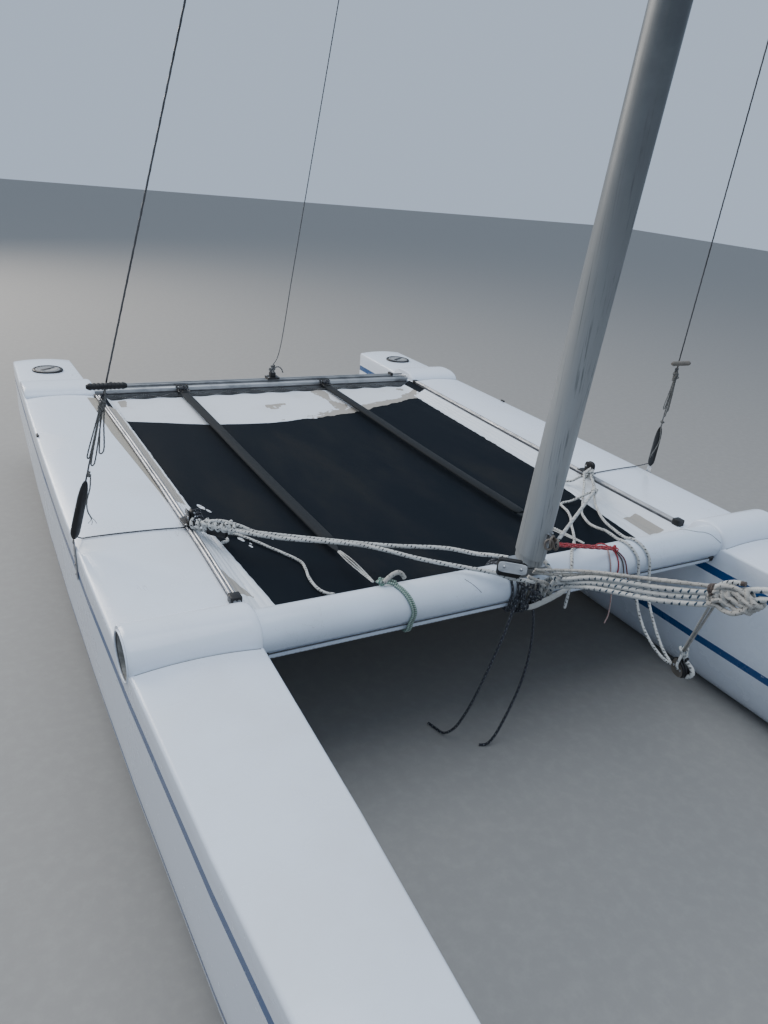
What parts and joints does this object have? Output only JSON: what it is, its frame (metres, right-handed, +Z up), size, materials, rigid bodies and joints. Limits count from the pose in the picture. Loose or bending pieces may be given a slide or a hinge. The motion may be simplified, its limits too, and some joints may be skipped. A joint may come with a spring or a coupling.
{
  "type": "sailing catamaran",
  "caption": "Two-hulled beach sailing catamaran parked on its hulls, with beams, trampoline, rotating mast, stays and a sliding traveller car; sails and rudders off.",
  "frame": {"origin": "on the floor under the middle of the boat's length and beam", "axes": "+Z up, the bows point to -Y, port is +X and starboard is -X"},
  "size_m": [2.456, 5.5073, 9.2696],
  "materials": {
    "gelcoat": "glossy white gelcoat, scuffed, with thin blue stripes",
    "beam_white": "satin white paint",
    "aluminium": "weathered anodised",
    "mast_grey": "satin grey, chalky",
    "stainless": "brushed",
    "black_plastic": "weathered black",
    "grey_plastic": "faded grey",
    "mesh_cloth": "woven black mesh with a white vinyl border",
    "webbing": "dark grey padded webbing",
    "rope": "white braid with dark flecks",
    "dark_rope": "dark braid"
  },
  "bodies": {
    "root": {"hull_starboard": "gelcoat", "front_fairing_starboard": "beam_white", "rear_fairing_starboard": "beam_white", "trampoline_rail_starboard": "aluminium", "hiking_strap_starboard": "webbing", "bow_tang_starboard": "stainless", "bridle_starboard": "stainless", "chainplate_starboard": "stainless", "shroud_starboard": "stainless", "shroud_cover_starboard": "black_plastic", "trapeze_handle_starboard": "black_plastic", "port_ring_starboard": "black_plastic", "port_lid_starboard": "grey_plastic", "gudgeon_upper_starboard": "stainless", "gudgeon_lower_starboard": "stainless", "jib_lead_starboard": "black_plastic", "hull_port": "gelcoat", "front_fairing_port": "beam_white", "rear_fairing_port": "beam_white", "trampoline_rail_port": "aluminium", "hiking_strap_port": "webbing", "bow_tang_port": "stainless", "bridle_port": "stainless", "chainplate_port": "stainless", "shroud_port": "stainless", "shroud_cover_port": "black_plastic", "trapeze_handle_port": "black_plastic", "port_ring_port": "black_plastic", "port_lid_port": "grey_plastic", "gudgeon_upper_port": "stainless", "gudgeon_lower_port": "stainless", "jib_lead_port": "black_plastic", "front_beam": "beam_white", "front_beam_lip": "beam_white", "rear_beam": "aluminium", "traveller_track": "aluminium", "trampoline": "mesh_cloth", "mast_step": "aluminium", "stay_shackle": "stainless", "bridle_ring": "stainless", "forestay": "stainless", "lashing_tail_long": "dark_rope", "mat_line": "rope", "sheet_loop_inner": "rope", "sheet_block": "black_plastic", "sheet_loop_outer": "rope", "lazy_line": "rope", "lashing_tail_short": "dark_rope"},
    "mast": {"mast": "mast_grey", "mast_base": "black_plastic", "masthead": "black_plastic", "hounds_tang": "stainless", "mast_padeye": "stainless"},
    "traveller_car": {"traveller_car": "black_plastic"}
  },
  "joints": [
    {"name": "mast_rotation", "type": "hinge", "parent": "root", "child": "mast", "pos_m": [0, -0.155, 0.682], "axis": [0, -0.0651, 0.9979], "range_deg": [-60, 60]},
    {"name": "traveller_slide", "type": "slide", "parent": "root", "child": "traveller_car", "axis": [1, 0, 0], "range_m": [-0.7, 0.7]}
  ]
}
